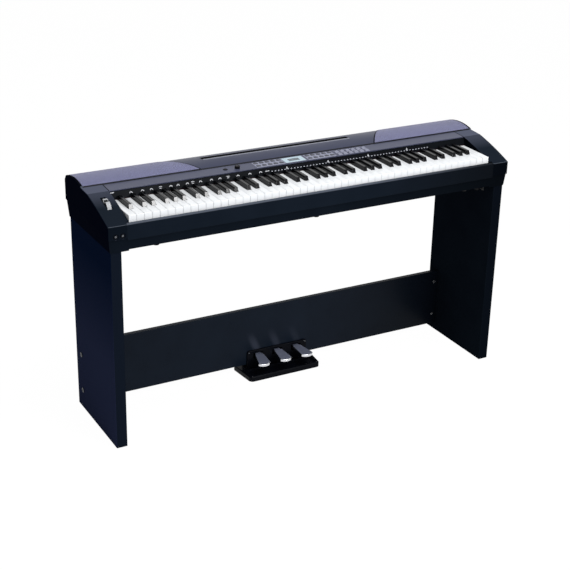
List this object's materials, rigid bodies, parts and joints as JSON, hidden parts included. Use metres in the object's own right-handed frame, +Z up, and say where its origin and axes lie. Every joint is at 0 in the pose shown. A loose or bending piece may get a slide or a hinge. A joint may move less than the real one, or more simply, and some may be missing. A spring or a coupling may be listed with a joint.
{
  "type": "digital piano on stand",
  "caption": "Slim digital piano with a full keyboard, speaker grilles, button panel and pitch wheel on a flat-panel stand with a cross board and pedal unit.",
  "frame": {"origin": "on the floor under the middle of the piano", "axes": "+X to the player's right along the keyboard, +Y away from the player, +Z up"},
  "size_m": [1.36, 0.334, 0.7611],
  "materials": {
    "stand_laminate": "satin black melamine laminate on chipboard",
    "zinc_steel": "bright zinc plate",
    "black_steel": "black paint",
    "black_plastic": "fine moulded grain",
    "pedal_metal": "brushed top, polished edge",
    "spring_steel": "blued spring strip",
    "case_plastic": "satin moulded plastic",
    "panel_plastic": "fine satin grain",
    "grille_metal": "perforated sheet, light lilac grey paint",
    "display_plastic": "pale blue bezel with a dark window",
    "board_laminate": "circuit board with green lacquer",
    "button_plastic": "satin caps",
    "wheel_plastic": "light grey, ribbed",
    "black_rubber": "matt",
    "key_white": "polished white",
    "key_black": "satin black"
  },
  "bodies": {
    "stand_and_case": {"left_side_panel": "stand_laminate", "right_side_panel": "stand_laminate", "modesty_board": "stand_laminate", "panel_bolts": "black_steel", "cross_dowels": "zinc_steel", "mounting_angles": "black_steel", "hand_screws": "black_plastic", "floor_glides": "black_plastic", "pedal_base": "black_plastic", "pedal_housing": "black_plastic", "pedal_shaft": "zinc_steel", "pedal_springs": "spring_steel", "lower_case": "black_plastic", "upper_case": "case_plastic", "left_end_cheek": "case_plastic", "right_end_cheek": "case_plastic", "front_rail": "case_plastic", "control_panel": "panel_plastic", "nameboard": "black_plastic", "left_speaker_grille": "grille_metal", "right_speaker_grille": "grille_metal", "speakers": "black_steel", "display_module": "display_plastic", "control_board": "board_laminate", "sockets": "black_plastic", "key_chassis": "case_plastic", "rubber_feet": "black_rubber"},
    "keys_c": {"keys_c": "key_white"},
    "key_c_4": {"key_c_4": "key_white"},
    "keys_c_sharp": {"keys_c_sharp": "key_black"},
    "key_c_sharp_4": {"key_c_sharp_4": "key_black"},
    "keys_d": {"keys_d": "key_white"},
    "key_d_4": {"key_d_4": "key_white"},
    "keys_d_sharp": {"keys_d_sharp": "key_black"},
    "key_d_sharp_4": {"key_d_sharp_4": "key_black"},
    "keys_e": {"keys_e": "key_white"},
    "key_e_4": {"key_e_4": "key_white"},
    "keys_f": {"keys_f": "key_white"},
    "key_f_4": {"key_f_4": "key_white"},
    "keys_f_sharp": {"keys_f_sharp": "key_black"},
    "key_f_sharp_4": {"key_f_sharp_4": "key_black"},
    "keys_g": {"keys_g": "key_white"},
    "key_g_4": {"key_g_4": "key_white"},
    "keys_g_sharp": {"keys_g_sharp": "key_black"},
    "key_g_sharp_4": {"key_g_sharp_4": "key_black"},
    "keys_a": {"keys_a": "key_white"},
    "key_a_4": {"key_a_4": "key_white"},
    "keys_a_sharp": {"keys_a_sharp": "key_black"},
    "key_a_sharp_4": {"key_a_sharp_4": "key_black"},
    "keys_b": {"keys_b": "key_white"},
    "key_b_4": {"key_b_4": "key_white"},
    "left_pedal": {"left_pedal": "pedal_metal"},
    "middle_pedal": {"middle_pedal": "pedal_metal"},
    "right_pedal": {"right_pedal": "pedal_metal"},
    "pitch_wheel": {"pitch_wheel": "wheel_plastic"},
    "volume_knob": {"volume_knob": "black_plastic"},
    "power_button": {"power_button": "black_plastic"},
    "left_buttons": {"left_buttons": "button_plastic"},
    "centre_buttons": {"centre_buttons": "button_plastic"},
    "right_buttons": {"right_buttons": "button_plastic"}
  },
  "joints": [
    {"name": "keys_c_press", "type": "hinge", "parent": "stand_and_case", "child": "keys_c", "pos_m": [0, 0.06, 0.7092], "axis": [1, 0, 0], "range_deg": [0, 2.7], "stiffness_Nm_per_rad": 7, "springref_deg": -11.46},
    {"name": "key_c_4_press", "type": "hinge", "parent": "stand_and_case", "child": "key_c_4", "pos_m": [0, 0.06, 0.7092], "axis": [1, 0, 0], "range_deg": [0, 2.7], "stiffness_Nm_per_rad": 1, "springref_deg": -11.46},
    {"name": "keys_c_sharp_press", "type": "hinge", "parent": "stand_and_case", "child": "keys_c_sharp", "pos_m": [0, 0.06, 0.7092], "axis": [1, 0, 0], "range_deg": [0, 2.7], "stiffness_Nm_per_rad": 6, "springref_deg": -11.46},
    {"name": "key_c_sharp_4_press", "type": "hinge", "parent": "stand_and_case", "child": "key_c_sharp_4", "pos_m": [0, 0.06, 0.7092], "axis": [1, 0, 0], "range_deg": [0, 2.7], "stiffness_Nm_per_rad": 1, "springref_deg": -11.46},
    {"name": "keys_d_press", "type": "hinge", "parent": "stand_and_case", "child": "keys_d", "pos_m": [0, 0.06, 0.7092], "axis": [1, 0, 0], "range_deg": [0, 2.7], "stiffness_Nm_per_rad": 6, "springref_deg": -11.46},
    {"name": "key_d_4_press", "type": "hinge", "parent": "stand_and_case", "child": "key_d_4", "pos_m": [0, 0.06, 0.7092], "axis": [1, 0, 0], "range_deg": [0, 2.7], "stiffness_Nm_per_rad": 1, "springref_deg": -11.46},
    {"name": "keys_d_sharp_press", "type": "hinge", "parent": "stand_and_case", "child": "keys_d_sharp", "pos_m": [0, 0.06, 0.7092], "axis": [1, 0, 0], "range_deg": [0, 2.7], "stiffness_Nm_per_rad": 6, "springref_deg": -11.46},
    {"name": "key_d_sharp_4_press", "type": "hinge", "parent": "stand_and_case", "child": "key_d_sharp_4", "pos_m": [0, 0.06, 0.7092], "axis": [1, 0, 0], "range_deg": [0, 2.7], "stiffness_Nm_per_rad": 1, "springref_deg": -11.46},
    {"name": "keys_e_press", "type": "hinge", "parent": "stand_and_case", "child": "keys_e", "pos_m": [0, 0.06, 0.7092], "axis": [1, 0, 0], "range_deg": [0, 2.7], "stiffness_Nm_per_rad": 6, "springref_deg": -11.46},
    {"name": "key_e_4_press", "type": "hinge", "parent": "stand_and_case", "child": "key_e_4", "pos_m": [0, 0.06, 0.7092], "axis": [1, 0, 0], "range_deg": [0, 2.7], "stiffness_Nm_per_rad": 1, "springref_deg": -11.46},
    {"name": "keys_f_press", "type": "hinge", "parent": "stand_and_case", "child": "keys_f", "pos_m": [0, 0.06, 0.7092], "axis": [1, 0, 0], "range_deg": [0, 2.7], "stiffness_Nm_per_rad": 6, "springref_deg": -11.46},
    {"name": "key_f_4_press", "type": "hinge", "parent": "stand_and_case", "child": "key_f_4", "pos_m": [0, 0.06, 0.7092], "axis": [1, 0, 0], "range_deg": [0, 2.7], "stiffness_Nm_per_rad": 1, "springref_deg": -11.46},
    {"name": "keys_f_sharp_press", "type": "hinge", "parent": "stand_and_case", "child": "keys_f_sharp", "pos_m": [0, 0.06, 0.7092], "axis": [1, 0, 0], "range_deg": [0, 2.7], "stiffness_Nm_per_rad": 6, "springref_deg": -11.46},
    {"name": "key_f_sharp_4_press", "type": "hinge", "parent": "stand_and_case", "child": "key_f_sharp_4", "pos_m": [0, 0.06, 0.7092], "axis": [1, 0, 0], "range_deg": [0, 2.7], "stiffness_Nm_per_rad": 1, "springref_deg": -11.46},
    {"name": "keys_g_press", "type": "hinge", "parent": "stand_and_case", "child": "keys_g", "pos_m": [0, 0.06, 0.7092], "axis": [1, 0, 0], "range_deg": [0, 2.7], "stiffness_Nm_per_rad": 6, "springref_deg": -11.46},
    {"name": "key_g_4_press", "type": "hinge", "parent": "stand_and_case", "child": "key_g_4", "pos_m": [0, 0.06, 0.7092], "axis": [1, 0, 0], "range_deg": [0, 2.7], "stiffness_Nm_per_rad": 1, "springref_deg": -11.46},
    {"name": "keys_g_sharp_press", "type": "hinge", "parent": "stand_and_case", "child": "keys_g_sharp", "pos_m": [0, 0.06, 0.7092], "axis": [1, 0, 0], "range_deg": [0, 2.7], "stiffness_Nm_per_rad": 6, "springref_deg": -11.46},
    {"name": "key_g_sharp_4_press", "type": "hinge", "parent": "stand_and_case", "child": "key_g_sharp_4", "pos_m": [0, 0.06, 0.7092], "axis": [1, 0, 0], "range_deg": [0, 2.7], "stiffness_Nm_per_rad": 1, "springref_deg": -11.46},
    {"name": "keys_a_press", "type": "hinge", "parent": "stand_and_case", "child": "keys_a", "pos_m": [0, 0.06, 0.7092], "axis": [1, 0, 0], "range_deg": [0, 2.7], "stiffness_Nm_per_rad": 7, "springref_deg": -11.46},
    {"name": "key_a_4_press", "type": "hinge", "parent": "stand_and_case", "child": "key_a_4", "pos_m": [0, 0.06, 0.7092], "axis": [1, 0, 0], "range_deg": [0, 2.7], "stiffness_Nm_per_rad": 1, "springref_deg": -11.46},
    {"name": "keys_a_sharp_press", "type": "hinge", "parent": "stand_and_case", "child": "keys_a_sharp", "pos_m": [0, 0.06, 0.7092], "axis": [1, 0, 0], "range_deg": [0, 2.7], "stiffness_Nm_per_rad": 7, "springref_deg": -11.46},
    {"name": "key_a_sharp_4_press", "type": "hinge", "parent": "stand_and_case", "child": "key_a_sharp_4", "pos_m": [0, 0.06, 0.7092], "axis": [1, 0, 0], "range_deg": [0, 2.7], "stiffness_Nm_per_rad": 1, "springref_deg": -11.46},
    {"name": "keys_b_press", "type": "hinge", "parent": "stand_and_case", "child": "keys_b", "pos_m": [0, 0.06, 0.7092], "axis": [1, 0, 0], "range_deg": [0, 2.7], "stiffness_Nm_per_rad": 7, "springref_deg": -11.46},
    {"name": "key_b_4_press", "type": "hinge", "parent": "stand_and_case", "child": "key_b_4", "pos_m": [0, 0.06, 0.7092], "axis": [1, 0, 0], "range_deg": [0, 2.7], "stiffness_Nm_per_rad": 1, "springref_deg": -11.46},
    {"name": "left_pedal_press", "type": "hinge", "parent": "stand_and_case", "child": "left_pedal", "pos_m": [-0.0705, 0.128, 0.06], "axis": [1, 0, 0], "range_deg": [0, 7.5], "stiffness_Nm_per_rad": 5, "springref_deg": -17.19, "deforming": ["pedal_springs"]},
    {"name": "middle_pedal_press", "type": "hinge", "parent": "stand_and_case", "child": "middle_pedal", "pos_m": [0, 0.128, 0.06], "axis": [1, 0, 0], "range_deg": [0, 7.5], "stiffness_Nm_per_rad": 5, "springref_deg": -17.19, "deforming": ["pedal_springs"]},
    {"name": "right_pedal_press", "type": "hinge", "parent": "stand_and_case", "child": "right_pedal", "pos_m": [0.0705, 0.128, 0.06], "axis": [1, 0, 0], "range_deg": [0, 7.5], "stiffness_Nm_per_rad": 5, "springref_deg": -17.19, "deforming": ["pedal_springs"]},
    {"name": "pitch_wheel_turn", "type": "hinge", "parent": "stand_and_case", "child": "pitch_wheel", "pos_m": [-0.642, -0.061, 0.711], "axis": [1, 0, 0], "range_deg": [-35, 35], "stiffness_Nm_per_rad": 0.05},
    {"name": "volume_knob_turn", "type": "hinge", "parent": "stand_and_case", "child": "volume_knob", "pos_m": [-0.196, 0.01097, 0.74865], "axis": [0, -0.0523, 0.9986], "range_deg": [-150, 150]},
    {"name": "power_button_press", "type": "slide", "parent": "stand_and_case", "child": "power_button", "axis": [0, 0.0523, -0.9986], "range_m": [0, 0.0012], "stiffness_N_per_m": 300, "springref_m": -0.002},
    {"name": "left_buttons_press", "type": "slide", "parent": "stand_and_case", "child": "left_buttons", "axis": [0, 0.0523, -0.9986], "range_m": [0, 0.0012], "stiffness_N_per_m": 3000, "springref_m": -0.002},
    {"name": "centre_buttons_press", "type": "slide", "parent": "stand_and_case", "child": "centre_buttons", "axis": [0, 0.0523, -0.9986], "range_m": [0, 0.0012], "stiffness_N_per_m": 3000, "springref_m": -0.002},
    {"name": "right_buttons_press", "type": "slide", "parent": "stand_and_case", "child": "right_buttons", "axis": [0, 0.0523, -0.9986], "range_m": [0, 0.0012], "stiffness_N_per_m": 3600, "springref_m": -0.002}
  ]
}
